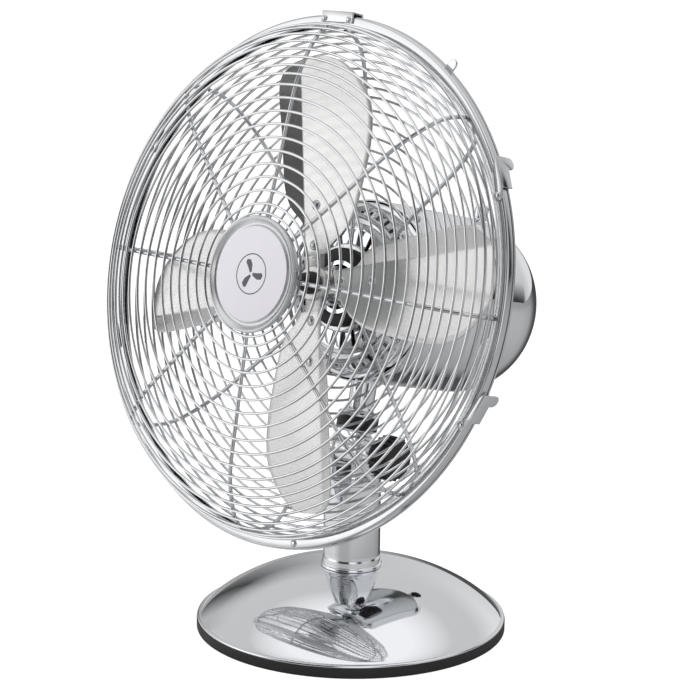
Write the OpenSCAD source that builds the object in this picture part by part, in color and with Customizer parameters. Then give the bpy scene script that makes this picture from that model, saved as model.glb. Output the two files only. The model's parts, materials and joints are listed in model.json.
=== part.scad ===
// Desk fan: chrome stand with a tilting neck, swinging head, four-blade rotor and wire guards.
// Millimetres. The origin is on the floor under the stand's axis, +Z up, and the fan faces -Y.

/* [Base] */
// Radius of the black edge ring on the floor
base_r = 107; // [100:1:115]
// Height of the black edge ring
skirt_h = 7.3; // [6:0.1:9]
// Rise of the chrome dome above its rolled edge
dome_h = 35.5; // [32:0.5:38]

/* [Stand] */
// Radius of the stand tube
tube_r = 19.7; // [19:0.1:21]
// Height of the tilt pivot above the floor
pivot_z = 126; // [124:1:132]

/* [Head] */
// Upward tilt of the fan in the rest position, in degrees
rest_tilt = 13.4; // [0:0.1:16]
// Height of the fan's axis above the tilt pivot
axis_h = 108; // [107:0.5:110]
// Radius of the motor housing
motor_r = 62; // [60:0.5:63]

/* [Guard] */
// Outer radius of the front rim
guard_r = 175; // [172:0.5:178]
// Thickness of the ring wires
wire_d = 1.8; // [1.4:0.1:2.2]
// Thickness of the spoke wires
spoke_d = 2.8; // [2.2:0.1:3.2]
// Number of spokes in each guard
spokes = 8; // [6:1:12]

/* [Blades] */
// Number of fan blades
blades = 4; // [4]
// Turn of the first blade from the horizontal, in degrees
blade_phase = 10; // [0:1:80]
// Backward slope of the wide part of a blade, in degrees
blade_pitch = 6.8; // [4:0.2:12]
// Forward bend of the narrow strip of a blade, in degrees
strip_bend = 30; // [20:1:40]

/* [Hidden] */
$fn = 96;
gap = 0.3;                           // space left between moving pieces
run = 0.05;                          // radial space of a pin in its hole

dome_r = base_r - 2.5;
dome_z = skirt_h + 1.2;              // height of the dome's edge
foot_z = dome_z + dome_h;            // height of the dome's top
tube_top = pivot_z - 22;
bolt_r = 3;
ear_in = 8.5;                        // half the width between the hinge ears
ear_out = 13.5;
ear_r = 11;
knob_x = 22;                         // inner face of the tilt knob

cup_r = 14.2;
cup_z = 23;                          // top of the neck's cup, above the pivot
pin_r = 5;
sleeve_r = 9;
shell_t = 1.2;
shaft_r = 4;

blade_s = 68.5;                      // distances along the fan's axis, from the neck's axis
blade_t = 1.2;
crease_v = 5.3;                      // place of a blade's fold, which is turned from its rivets
crease_turn = 5.2;
front_edge_s = 85;
front_face_s = 117.7;
rear_edge_s = 79.2;
rear_face_s = 44.5;
corner_r = 118;                      // radius where the guards begin to curve
front_slope = 3.6;                   // slope of the guards' faces, in degrees
rear_slope = 5.9;
front_curve = [91, 21.6];            // wide and tight radius of the guards' bent edge
rear_curve = [93.4, 25];
bend_1 = 30;                         // where the wide arc ends, and where the tight arc ends
bend_2 = 80;
weld = (wire_d + spoke_d) / 2 - 0.3; // distance of a spoke behind the rings
face_pitch = 8.64;
face_rings = 10;
side_rings = 9;
wheel_x = 13.2;                      // place of the oscillation gear
wheel_s = -64;
crank_r = 6;
clip_angles = [25.3, -22.9, 155.3, 203];
clip_r = guard_r - 2.8;              // place of the clips' rivets on the rim

// ---- shared frames and outlines ----
module in_head() translate([0, 0, pivot_z]) rotate([-rest_tilt, 0, 0]) children();
module on_axis() in_head() translate([0, 0, axis_h]) rotate([90, 0, 0]) children();
module at_rim(angle) on_axis() rotate([0, 0, angle]) children();
module ring(r1, r2, s1, s2) translate([0, 0, s1]) difference() {
    cylinder(r = r2, h = s2 - s1);
    translate([0, 0, -1]) cylinder(r = r1, h = s2 - s1 + 2);
}
module disc(r, s1, s2) translate([0, 0, s1]) cylinder(r = r, h = s2 - s1);
module hoop(r, s, d) rotate_extrude() translate([r, s]) circle(d = d, $fn = 16);

function dome(r) = dome_z + dome_h * pow(1 - pow(r / dome_r, 2.4), 0.9);
function front_s(r) = front_face_s + tan(front_slope) * (corner_r - r);
function rear_s(r) = rear_face_s - tan(rear_slope) * (corner_r - r);
function face_r(i) = 46 + face_pitch * i;
function side_length(i) = 13.2 + 6 * i;
function along_wide(c, a0, a) = [corner_r + c[0] * (sin(a) - sin(a0)), c[0] * (cos(a0) - cos(a))];
function along_tight(c, a0, a) = along_wide(c, a0, bend_1)
    + c[1] * [sin(a) - sin(bend_1), cos(bend_1) - cos(a)];
function curve_point(len, c, a0) = let (a = a0 + len / c[0] * 180 / PI)
    a < bend_1 ? along_wide(c, a0, a)
    : along_tight(c, a0, min(bend_2 + 4, bend_1 + (len - c[0] * (bend_1 - a0) * PI / 180) / c[1] * 180 / PI));

// ---- stand ----
module base_skirt() color("dimgray") rotate_extrude()
    polygon([[99, 0], [base_r - 0.8, 0], [base_r, 0.8], [base_r, skirt_h - 0.5],
             [base_r - 0.5, skirt_h], [99, skirt_h]]);

module base_shell() color("gainsboro") difference() {
    rotate_extrude() polygon(concat(
        [for (r = [5.2, 12, 20, 28, 36, 44, 52, 60, 68, 76, 83, 89, 94, 98, 101, 103, dome_r]) [r, dome(r)]],
        [[base_r - 0.6, dome_z], [base_r - 0.6, skirt_h], [102.2, skirt_h]],
        [for (r = [101, 97.5, 93, 88, 82, 75, 67, 59, 51, 43, 35, 27, 19, 12, 5.2])
            [r, dome(r) - 1.4]]));
    translate([0, 85, 13]) rotate([-90, 0, 0]) cylinder(r = 4.1, h = 25);
}

module base_weight() color("dimgray") difference() {
    ring(30, 83, 3.2, 11);
    for (a = [45:90:315]) rotate([0, 0, a]) translate([60, 0, 0]) cylinder(r = 1.6, h = 12);
}

module base_plate() color("dimgray") difference() {
    disc(98.6, 1.6, 3);
    for (a = [45:90:315]) rotate([0, 0, a]) translate([60, 0, 0]) cylinder(r = 1.7, h = 12);
}

module base_pad() color("black") disc(98.6, 0, 0.5);

module base_screws() color("silver") for (a = [45:90:315]) rotate([0, 0, a]) translate([60, 0, 0]) {
    disc(3.2, 0.7, 1.55);
    disc(1.5, 1.4, 9);
}

module cord_gland() color("black") translate([0, 0, 13]) rotate([-90, 0, 0]) difference() {
    union() {
        disc(4, 86, 99);
        disc(5.6, 84.5, 87.5);
    }
    disc(2.6, 80, 110);
}

module stand_tube() color("gainsboro") ring(tube_r - 1.3, tube_r, foot_z - 0.4, tube_top);

module foot_collar() color("gainsboro") rotate_extrude()
    polygon([[tube_r + 0.05, foot_z - 0.3], [tube_r + 1.1, foot_z - 0.5], [tube_r + 1.5, foot_z + 0.6],
             [tube_r + 1.5, foot_z + 4], [tube_r + 0.9, foot_z + 5.4], [tube_r + 0.05, foot_z + 5.8]]);

module tie_rod() color("silver") disc(4, foot_z - 12, tube_top - 4);

module tie_nuts() color("silver") {
    translate([0, 0, foot_z - 9.7]) difference() {
        cylinder(r = 7.5, h = 6, $fn = 6);
        translate([0, 0, -1]) cylinder(r = 4.05, h = 10);
    }
    ring(4.05, 12, foot_z - 3.4, foot_z - 1.9);
}

module hinge_socket() color("gainsboro") difference() {
    union() {
        disc(tube_r - 1.35, tube_top - 16, tube_top);
        disc(tube_r, tube_top, tube_top + 3.5);
        for (s = [-1, 1]) {
            translate([s * (ear_in + ear_out) / 2, 0, (tube_top + pivot_z) / 2])
                cube([ear_out - ear_in, 2 * ear_r, pivot_z - tube_top], center = true);
            translate([s * (ear_in + ear_out) / 2, 0, pivot_z]) rotate([0, 90, 0])
                cylinder(r = ear_r, h = ear_out - ear_in, center = true);
        }
        translate([ear_out, 0, pivot_z]) rotate([0, 90, 0]) cylinder(r = 8, h = knob_x - ear_out - gap);
    }
    translate([-30, 0, pivot_z]) rotate([0, 90, 0]) cylinder(r = bolt_r + run, h = 60);
    disc(4.05, tube_top - 20, tube_top - 4);
    translate([0, 12, tube_top - 22]) cylinder(r = 3, h = 40);
}

module tilt_bolt() color("silver") translate([0, 0, pivot_z]) rotate([0, 90, 0]) {
    disc(bolt_r, -15, 33);
    translate([0, 0, -ear_out - 4.2]) cylinder(r = 6.2, h = 4.1, $fn = 6);
}

module tilt_knob() color("dimgray") translate([0, 0, pivot_z]) rotate([0, 90, 0]) difference() {
    union() {
        rotate_extrude() polygon([[0, knob_x], [9, knob_x], [9.6, knob_x + 3], [13.6, knob_x + 4.5],
            [14.4, knob_x + 6], [14.4, knob_x + 17.5], [13, knob_x + 19.4], [0, knob_x + 20]]);
        for (a = [0:18:342]) rotate([0, 0, a]) translate([14.2, 0, knob_x + 6]) cylinder(r = 1.2, h = 11.5);
    }
    disc(bolt_r + run, knob_x - 1, knob_x + 12);
}

// ---- neck ----
module neck_lug() color("gainsboro") in_head() difference() {
    union() {
        rotate([0, 90, 0]) cylinder(r = ear_r - gap, h = 2 * (ear_in - gap), center = true);
        translate([0, 0, 9]) cube([2 * (ear_in - gap), 16, 8], center = true);
        disc(10.5, 12, 16);
        disc(cup_r - 1.2, 13, cup_z - 1);
    }
    rotate([0, 90, 0]) cylinder(r = bolt_r + run, h = 40, center = true);
    disc(pin_r, 13, 40);
}

module neck_band() color("dimgray") in_head() ring(cup_r - 1.15, cup_r, 14, cup_z);

module neck_pin() color("silver") in_head() difference() {
    disc(pin_r, 13, 55);
    ring(4.2, 6, 51, 52.2);
}

module neck_clip() color("silver") in_head() difference() {
    ring(4.25, 7.4, 51.1, 52.1);
    translate([0, 5, 51.6]) cube([5, 8, 3], center = true);
}

// ---- motor ----
module pivot_sleeve() color("gainsboro") in_head() difference() {
    union() {
        disc(sleeve_r, cup_z + gap, 50.5);
        disc(cup_r, cup_z + gap, cup_z + 3);
    }
    disc(pin_r + run, cup_z - 1, 60);
}

function bullet(s, r) = r * sqrt(max(0, 1 - pow((-80 - s) / 52, 2)));

module motor_housing() color("gainsboro") difference() {
    on_axis() rotate_extrude() polygon(concat(
        [[motor_r - 1.5, 20], [motor_r, 18.5]],
        [for (s = [-80:-5:-130]) [bullet(s, motor_r), s]],
        [[6, -131.8], [0, -132], [0, -130.8]],
        [for (s = [-130:5:-80]) [bullet(s, motor_r) - shell_t, s + 0.7]],
        [[motor_r - shell_t, 20]]));
    in_head() disc(sleeve_r + gap, 30, 60);
    in_head() translate([0, 93, 150]) cylinder(r = 2.6, h = 40);
    on_axis() translate([0, -34, -130]) cylinder(r = 5, h = 30);
    on_axis() for (a = [60, 180, 300]) rotate([0, 0, a]) translate([0, 0, 12]) rotate([0, 90, 0])
        cylinder(r = 1.6, h = 80);
}

module front_cover() color("gainsboro") on_axis() difference() {
    rotate_extrude() polygon([[8.2, 28], [15, 28], [15, 43.2], [18.1, 43.2], [18.1, 34.4], [44, 34.4],
        [45.5, 32], [56, 25.5], [60.3, 20.4], [60.3, 9.8], [59.1, 9.8], [59.1, 20], [55.4, 24.4],
        [44.8, 30.8], [43.4, 33], [19.2, 33], [19.2, 26.6], [8.2, 26.6]]);
    for (a = [0:15:345]) rotate([0, 0, a]) translate([29, -1.5, 30]) cube([11, 3, 8]);
    for (a = [0:10:350]) rotate([0, 0, a]) translate([48, -1.2, 20]) cube([6, 2.4, 14]);
    for (a = [60, 180, 300]) rotate([0, 0, a]) translate([0, 0, 12]) rotate([0, 90, 0])
        cylinder(r = 1.5, h = 80);
}

module bracket_holes() for (a = [45:90:315]) rotate([0, 0, a]) translate([52, 0, -60])
    cylinder(r = 2.1, h = 100);

module front_bracket() color("silver") on_axis() difference() {
    union() {
        ring(9, 56, 17, 19);
        disc(12, 17, 26);
    }
    disc(7.1, 10, 30);
    bracket_holes();
    for (a = [0:90:270]) rotate([0, 0, a]) translate([30, 0, 10]) cylinder(r = 9, h = 20);
}

module rear_bracket() color("silver") on_axis() difference() {
    union() {
        ring(9, 56, -46, -44);
        disc(12, -50, -44);
    }
    disc(7.1, -60, -40);
    bracket_holes();
    for (a = [0:90:270]) rotate([0, 0, a]) translate([30, 0, -50]) cylinder(r = 9, h = 20);
    translate([-3, -60, -50]) cube([34, 13, 10]);
}

module bracket_bolts() color("silver") on_axis() for (a = [45:90:315]) rotate([0, 0, a])
    translate([52, 0, 0]) {
        disc(2, -48.2, 21);
        disc(3.6, 19.1, 22);
        disc(3.6, -49, -46.1);
    }

module stator_core() color("dimgray") on_axis() difference() {
    ring(25.5, 47, -30, 4);
    for (a = [22.5:45:337.5]) rotate([0, 0, a]) translate([25, -2, -40]) cube([12, 4, 60]);
}

module windings() color("peru") on_axis() {
    rotate_extrude() polygon([[27, 4.3], [42, 4.3], [43.5, 8], [41, 13], [30, 13], [27, 9]]);
    rotate_extrude() polygon([[27, -30.3], [42, -30.3], [43.5, -34], [41, -40], [30, -40], [27, -35]]);
}

module bearings() color("goldenrod") on_axis() {
    ring(shaft_r + run, 7, 17, 26);
    ring(shaft_r + run, 7, -50, -44);
}

module gearbox_case() color("dimgray") on_axis() difference() {
    translate([-12, -14, -78]) cube([38, 28, 27.6]);
    translate([-9, -11, -75]) cube([32, 22, 30]);
    disc(5, -90, -40);
    translate([wheel_x, 0, wheel_s]) rotate([90, 0, 0]) cylinder(r = 3.2, h = 40);
}

module housing_screws() color("silver") on_axis() for (a = [60, 180, 300]) rotate([0, 0, a])
    translate([0, 0, 12]) rotate([0, 90, 0]) {
        disc(1.4, 58, 62.5);
        disc(3, 62.2, 63.6);
    }

module speed_switch() color("dimgray") on_axis() {
    translate([-11, -45, -105]) cube([22, 22, 16]);
    translate([0, -34, -133.5]) cylinder(r = 3, h = 29);
}

module speed_knob() color("dimgray") on_axis() translate([0, -34, 0]) difference() {
    rotate_extrude() polygon([[0, -139], [7.5, -139], [9, -137.6], [9.8, -129.5], [0, -129.5]]);
    disc(3 + run, -134, -120);
}

module swing_knob() color("gainsboro") in_head() translate([0, 93, 0]) {
    disc(2.4, 152, 172);
    translate([0, 0, 169]) rotate_extrude() polygon([[0, 0], [3, 0], [4.9, 1.6], [4.9, 10.2], [3.8, 11.6],
        [0, 12.2]]);
}

// ---- oscillation gear ----
module worm_wheel() color("ivory") in_head() translate([wheel_x, -wheel_s, 0]) {
    translate([0, 0, axis_h - 3]) difference() {
        cylinder(r = 8, h = 6);
        for (a = [0:18:342]) rotate([0, 0, a]) translate([8.1, 0, -1]) cylinder(r = 0.55, h = 8, $fn = 24);
    }
    disc(3, 62.2, axis_h + 8);
    disc(9, 60.2, 63);
    translate([0, -crank_r, 0]) disc(2, 53.4, 60.4);
}

module crank_link() color("silver") in_head() difference() {
    union() {
        translate([wheel_x, -wheel_s - crank_r, 56]) cylinder(r = 4.5, h = 2.6);
        translate([wheel_x - 3, 22, 56]) cube([6, 32, 2.6]);
        translate([wheel_x, 22, 56]) cylinder(r = 5, h = 2.6);
    }
    translate([wheel_x, -wheel_s - crank_r, 50]) cylinder(r = 2 + run, h = 10);
    translate([wheel_x, 22, 50]) cylinder(r = 2.5, h = 10);
}

// ---- rotor ----
module motor_shaft() color("silver") on_axis() disc(shaft_r, -77, 76);

module rotor_core() color("dimgray") on_axis() difference() {
    union() {
        disc(25, -30, 4);
        disc(21, -33, 7);
    }
    disc(shaft_r, -40, 10);
}

module worm() color("silver") on_axis() difference() {
    rotate_extrude() polygon(concat([[shaft_r, -73]], [for (i = [0:8]) each
        [[4.9, -72.6 + 2 * i], [4.35, -71.6 + 2 * i]]], [[shaft_r, -55]]));
    disc(shaft_r, -90, -50);
}

module blade_spider() color("silver") on_axis() difference() {
    union() {
        disc(12, 58, 69.5);
        for (i = [0:blades - 1]) rotate([0, 0, blade_phase + 90 * i]) in_blade_plane()
            translate([6, -7.5, -1.7 - blade_t / 2]) cube([51, 15, 1.6]);
    }
    disc(shaft_r, 40, 90);
    for (i = [0:blades - 1]) rotate([0, 0, blade_phase + 90 * i]) rivet_places() disc(1.6, -8, 8);
}

module along_crease(slope) rotate([0, 0, crease_turn]) translate([0, crease_v, blade_s])
    rotate([slope, 0, 0]) translate([0, -crease_v, 0]) children();

module in_blade_plane() along_crease(blade_pitch) rotate([0, 0, -crease_turn]) children();

module rivet_places() for (u = [25.1, 51.8]) in_blade_plane() translate([u, 0, 0]) children();

module blade_outline() polygon([[18, -11.7], [23.6, -16.2], [29.8, -25.8], [41.1, -34.4], [58.5, -41],
    [76.1, -46.6], [90.8, -49.9], [103.8, -51.1], [116, -49.7], [127.5, -44.2], [137.2, -37.1],
    [143.9, -30.2], [148.7, -21.6], [151.6, -11.8], [151.6, -0.7], [149.5, 9.5], [145.1, 16.4],
    [138.4, 19.7], [127.4, 20.5], [102.2, 19.3], [77, 18.7], [63.9, 17.9], [51.5, 14.4], [40.7, 6.3],
    [30.6, 5.6], [19.6, 6.2]]);

module blade(i) color("gainsboro") on_axis() rotate([0, 0, blade_phase + 90 * i]) difference() {
    union() {
        along_crease(blade_pitch) linear_extrude(blade_t, center = true) intersection() {
            blade_outline();
            translate([0, -60]) square([160, 60 + crease_v]);
        }
        along_crease(strip_bend) linear_extrude(blade_t, center = true) intersection() {
            blade_outline();
            translate([0, crease_v - 0.2]) square([160, 60]);
        }
    }
    rivet_places() disc(1.6, -4, 4);
}

module blade_rivets() color("silver") on_axis() for (i = [0:blades - 1])
    rotate([0, 0, blade_phase + 90 * i]) rivet_places() {
        disc(1.55, -4, 1);
        translate([0, 0, blade_t / 2 + 0.05]) cylinder(r1 = 3.6, r2 = 2.2, h = 1.6);
        disc(2.6, -4.2, -2.4);
    }

module hub_nut() color("dimgray") on_axis() difference() {
    rotate_extrude() polygon([[0, 69.6], [7.6, 69.6], [7.6, 71.2], [6.4, 72.2], [6.4, 77], [4.6, 79], [0, 79.8]]);
    disc(shaft_r, 60, 76.1);
}

// ---- guards ----
module guard_nut() color("dimgray") on_axis() ring(18.3, 27, 39.1, 43.5);

module rear_rim() color("gainsboro") on_axis() difference() {
    union() {
        ring(guard_r - 8.2, guard_r + 0.5, 77.8, rear_edge_s);
        rotate([0, 0, 57.5]) translate([guard_r - 4, -3.5, 77.8]) cube([8, 7, 1.4]);
        rotate([0, 0, 57.5]) translate([guard_r + 3.9, 0, 77.8]) cylinder(r = 3.5, h = 1.4);
    }
    rotate([0, 0, -77]) translate([guard_r - 3.8, 0, 70]) cylinder(r = 1.45, h = 12);
}

module rear_rings() color("gainsboro") on_axis() {
    hoop(50, rear_s(50) - 0.2, spoke_d);
    for (i = [1:face_rings - 1]) hoop(face_r(i) + 4, rear_s(face_r(i) + 4), wire_d);
    for (i = [0:side_rings - 2]) let (p = curve_point(side_length(i) + 3, rear_curve, rear_slope))
        hoop(p[0], rear_face_s + p[1], wire_d);
}

// One edge of a spoke's side outline: a straight stretch, a wide arc, a tight arc and a straight
// tail into the rim. It lies `off` inside the rings' curve, whose own bend starts at the origin.
function spoke_edge(c, slope, len, tail, off) = let (
    wide_c = -c[0] * [sin(slope), cos(slope)],
    tight_c = wide_c + (c[0] - c[1]) * [sin(bend_1), cos(bend_1)],
    start = wide_c + (c[0] - off) * [sin(slope), cos(slope)],
    end = tight_c + (c[1] - off) * [sin(bend_2), cos(bend_2)])
    concat([start - len * [cos(slope), -sin(slope)]],
        [for (k = [0:6]) let (a = slope + k * (bend_1 - slope) / 6)
            wide_c + (c[0] - off) * [sin(a), cos(a)]],
        [for (k = [1:8]) let (a = bend_1 + k * (bend_2 - bend_1) / 8)
            tight_c + (c[1] - off) * [sin(a), cos(a)]],
        [end + tail * [cos(bend_2), -sin(bend_2)]]);

module spoke(curve, slope, reach, tail) {
    outer = spoke_edge(curve, slope, reach, tail, weld - spoke_d / 2);
    inner = spoke_edge(curve, slope, reach, tail, weld + spoke_d / 2);
    rotate([90, 0, 0]) linear_extrude(spoke_d, center = true)
        polygon(concat(outer, [for (k = [len(inner) - 1:-1:0]) inner[k]]));
}

module rear_spokes() color("gainsboro") on_axis() for (i = [0:spokes - 1])
    rotate([0, 0, i * 360 / spokes]) translate([corner_r, 0, rear_face_s]) rotate([180, 0, 0])
        spoke(rear_curve, rear_slope, 91, 4.4);

module rear_centre() color("gainsboro") on_axis() ring(18.4, 30, 34.6, 38.8);

module front_rim() color("gainsboro") on_axis() difference() {
    union() {
        ring(guard_r - 8, guard_r, front_edge_s - 1.4, front_edge_s);
        ring(guard_r - 1.2, guard_r, front_edge_s - 5.4, front_edge_s);
    }
    for (a = clip_angles) rotate([0, 0, a]) translate([clip_r, 0, 70]) cylinder(r = 1.55, h = 20);
    rotate([0, 0, -77]) translate([guard_r - 3.8, 0, 70]) cylinder(r = 1.45, h = 20);
}

module front_rings() color("gainsboro") on_axis() {
    hoop(40, front_s(40), wire_d);
    for (i = [0:face_rings - 1]) hoop(face_r(i), front_s(face_r(i)), wire_d);
    for (i = [0:side_rings - 1]) let (p = curve_point(side_length(i), front_curve, front_slope))
        hoop(p[0], front_face_s - p[1], wire_d);
}

module front_spokes() color("gainsboro") on_axis() for (i = [0:spokes - 1])
    rotate([0, 0, i * 360 / spokes]) translate([corner_r, 0, front_face_s])
        spoke(front_curve, front_slope, 81.5, 5.6);

module badge_dish() color("gainsboro") on_axis() rotate_extrude()
    polygon([[0, 119], [34, 119], [37, 121.5], [38, 125], [37.6, 126.6], [36.2, 127], [35, 125.4],
        [33, 124.2], [31.4, 124.4], [31.2, 125.2], [0, 125.2]]);

module badge_disc() color("lavender") on_axis() disc(30.9, 125.25, 126.1);

module top_hook() color("gainsboro") at_rim(90.6) {
    translate([guard_r - 5.1, -14, front_edge_s + 0.05]) cube([7.5, 28, 1.2]);
    translate([guard_r + 1.2, -14, 76.2]) cube([1.2, 28, 10]);
    translate([guard_r - 5, -14, 76.2]) cube([7.4, 28, 1.2]);
}

module guard_fixings() color("silver") {
    for (y = [-10.8, 10.8]) at_rim(90.6) translate([guard_r - 2.8, y, 86.3])
        cylinder(r1 = 2.3, r2 = 1.4, h = 1.4);
    at_rim(-77) translate([guard_r - 3.8, 0, 0]) {
        disc(1.4, 75, 85.2);
        disc(2.6, 85.05, 86.2);
    }
    for (a = clip_angles) at_rim(a) translate([clip_r, 0, 0]) {
        disc(1.5, 83.6, 87.4);
        disc(2.6, 86.7, 88.1);
    }
}

// A spring clip that turns on its rivet and holds the two rims together. Its lip, web and hook are
// outlines measured from the rim's edge, along the rim and along the axis.
clip_lip = [[-6.1, 0], [-5.2, 6], [-4.7, 10], [-3.6, 15], [-1.6, 20], [0.8, 24.5], [2.2, 24.5],
    [2.2, 4], [0.5, 1], [0.5, 0]];
clip_web = [[4, 1.6], [4, -8.9], [16.5, -8.9], [16.5, -11], [17.5, -13.6], [19.4, -14.9],
    [21.6, -14.9], [23.5, -13.6], [24.5, -11.4], [24.5, 1.6]];

module clip(i) color("gainsboro") {
    up = cos(clip_angles[i]) < 0 ? -1 : 1;
    at_rim(clip_angles[i]) difference() {
        union() {
            translate([guard_r, 0, front_edge_s + 0.4]) linear_extrude(1.2)
                polygon([for (p = clip_lip) [p[0], up * p[1]]]);
            translate([clip_r, 0, front_edge_s + 0.4]) cylinder(r = 3.4, h = 1.2);
            translate([guard_r + 1, 0, front_edge_s]) rotate([90, 0, 90]) linear_extrude(1.2)
                polygon([for (p = clip_web) [up * p[0], p[1]]]);
            translate([guard_r - 3.5, up > 0 ? 5 : -20, 76.1]) cube([5, 15, 1.2]);
        }
        translate([clip_r, 0, 70]) cylinder(r = 1.5 + run, h = 30);
    }
}

base_skirt();
base_shell();
base_weight();
base_plate();
base_pad();
base_screws();
cord_gland();
stand_tube();
foot_collar();
tie_rod();
tie_nuts();
hinge_socket();
tilt_bolt();
tilt_knob();
neck_lug();
neck_band();
neck_pin();
neck_clip();
pivot_sleeve();
motor_housing();
front_cover();
front_bracket();
rear_bracket();
bracket_bolts();
stator_core();
windings();
bearings();
gearbox_case();
housing_screws();
speed_switch();
speed_knob();
swing_knob();
worm_wheel();
crank_link();
motor_shaft();
rotor_core();
worm();
blade_spider();
blade(0);  // blade_1
blade(1);  // blade_2
blade(2);  // blade_3
blade(3);  // blade_4
blade_rivets();
hub_nut();
guard_nut();
rear_centre();
rear_rim();
rear_rings();
rear_spokes();
front_rim();
front_rings();
front_spokes();
badge_dish();
badge_disc();
top_hook();
guard_fixings();
clip(0);  // clip_1
clip(1);  // clip_2
clip(2);  // clip_3
clip(3);  // clip_4
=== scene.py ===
# Desk fan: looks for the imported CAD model. Metres, +Z up, the fan faces -Y.
import json
import math
import bpy
import bmesh
from mathutils import Matrix, Vector


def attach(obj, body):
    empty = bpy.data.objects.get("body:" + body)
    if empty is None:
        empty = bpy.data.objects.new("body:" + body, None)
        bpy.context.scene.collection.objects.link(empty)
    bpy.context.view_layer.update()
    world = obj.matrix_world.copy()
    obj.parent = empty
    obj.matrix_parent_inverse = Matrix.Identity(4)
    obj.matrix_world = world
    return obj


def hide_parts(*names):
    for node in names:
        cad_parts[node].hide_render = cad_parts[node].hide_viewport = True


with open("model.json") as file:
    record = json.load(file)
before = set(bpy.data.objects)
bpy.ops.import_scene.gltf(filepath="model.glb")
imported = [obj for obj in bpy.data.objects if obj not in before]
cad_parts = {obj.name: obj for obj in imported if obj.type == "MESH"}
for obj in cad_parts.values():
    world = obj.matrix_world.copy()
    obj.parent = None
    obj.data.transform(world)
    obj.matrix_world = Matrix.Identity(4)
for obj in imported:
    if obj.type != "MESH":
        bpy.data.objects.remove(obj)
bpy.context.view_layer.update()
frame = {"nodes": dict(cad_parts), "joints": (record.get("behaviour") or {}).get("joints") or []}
mm = 0.001
scene = bpy.context.scene

# places taken from the joints; each local frame is described beside it
joints = {joint["name"]: joint for joint in frame["joints"]}
pivot = Vector(joints["tilt"]["pos_m"])
headUp = Vector(joints["swing"]["axis"]).normalized()
fanForward = Vector(joints["blade_spin"]["axis"]).normalized()
sideways = headUp.cross(fanForward).normalized()
axisHeight = (Vector(joints["blade_spin"]["pos_m"]) - pivot).dot(headUp)


def frameAt(origin, xAxis, yAxis, zAxis):
    columns = Matrix((xAxis, yAxis, zAxis)).transposed()
    return Matrix.Translation(origin) @ columns.to_4x4()


# z runs forward along the fan's axis, up the neck, and along the tilt bolt
fanFrame = frameAt(pivot + headUp * axisHeight, sideways, headUp, fanForward)
neckFrame = frameAt(pivot, sideways, -fanForward, headUp)
tiltFrame = frameAt(pivot, Vector((0, 1, 0)), Vector((0, 0, 1)), Vector((1, 0, 0)))
floorFrame = Matrix.Identity(4)


# small helpers
def srgb(hexText):   # an sRGB hex value turned to linear
    channels = [int(hexText[i:i + 2], 16) / 255 for i in (1, 3, 5)]
    linear = [c / 12.92 if c <= 0.04045 else ((c + 0.055) / 1.055) ** 2.4 for c in channels]
    return (*linear, 1.0)


def turnZ(degrees):
    return Matrix.Rotation(math.radians(degrees), 4, "Z")


def shift(x=0.0, y=0.0, z=0.0):   # a move given in mm
    return Matrix.Translation((x * mm, y * mm, z * mm))


def arc(x, y, radius, start, end, steps):   # points on an arc whose ends are angles in degrees
    angles = [math.radians(start + (end - start) * k / steps) for k in range(steps + 1)]
    return [(x + radius * math.cos(a), y + radius * math.sin(a)) for a in angles]


def addNode(tree, kind, settings=None, links=None):   # one node with its settings and its incoming links
    node = tree.nodes.new(kind)
    for key, value in (settings or {}).items():
        if isinstance(key, int) or key in node.inputs:
            node.inputs[key].default_value = value
        else:
            setattr(node, key, value)
    for key, source in (links or {}).items():
        tree.links.new(source, node.inputs[key])
    return node


def newMaterial(name):
    material = bpy.data.materials.new(name)
    material.use_nodes = True
    material.node_tree.nodes.clear()
    return material, material.node_tree


def finishMaterial(tree, shader):
    addNode(tree, "ShaderNodeOutputMaterial", links={"Surface": shader.outputs[0]})


def objectFrom(name, mesh):
    piece = bpy.data.objects.new(name, mesh)
    scene.collection.objects.link(piece)
    return piece


def shade(mesh, angle=35):
    mesh.shade_smooth()
    mesh.set_sharp_from_angle(angle=math.radians(angle))


def meshFrom(name, build, smoothAngle=35):   # a bmesh builder turned into a shaded mesh
    work = bmesh.new()
    build(work)
    bmesh.ops.remove_doubles(work, verts=work.verts, dist=1e-7)
    bmesh.ops.recalc_face_normals(work, faces=work.faces)
    mesh = bpy.data.meshes.new(name)
    work.to_mesh(mesh)
    work.free()
    shade(mesh, smoothAngle)
    return mesh


def roundedOutline(points, radius, steps=4):   # a closed outline with each corner turned into a short arc
    result = []
    count = len(points)
    for i in range(count):
        before, corner, after = (Vector(points[(i + k) % count]) for k in (-1, 0, 1))
        toBefore, toAfter = before - corner, after - corner
        reach = min(radius, toBefore.length * 0.45, toAfter.length * 0.45)
        start = corner + toBefore.normalized() * reach
        end = corner + toAfter.normalized() * reach
        if corner.x < 1e-9:
            result.append(tuple(corner))
            continue
        for k in range(steps + 1):
            t = k / steps
            result.append(tuple(start * (1 - t) ** 2 + corner * 2 * t * (1 - t) + end * t ** 2))
    return result


def spinOutline(work, outline, segments=96, closed=True):   # outline points are (radius, height) in mm
    rows = []
    for r, z in outline:
        if r < 1e-6:
            rows.append([work.verts.new((0, 0, z * mm))] * segments)
            continue
        rows.append([work.verts.new((r * mm * math.cos(a), r * mm * math.sin(a), z * mm))
                     for a in (2 * math.pi * k / segments for k in range(segments))])
    pairs = list(zip(rows, rows[1:] + rows[:1])) if closed else list(zip(rows, rows[1:]))
    for low, high in pairs:
        if low[0] is low[1] and high[0] is high[1]:
            continue
        for k in range(segments):
            n = (k + 1) % segments
            corners = []
            for vert in (low[k], low[n], high[n], high[k]):
                if vert not in corners:
                    corners.append(vert)
            if len(corners) > 2:
                work.faces.new(corners)


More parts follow.
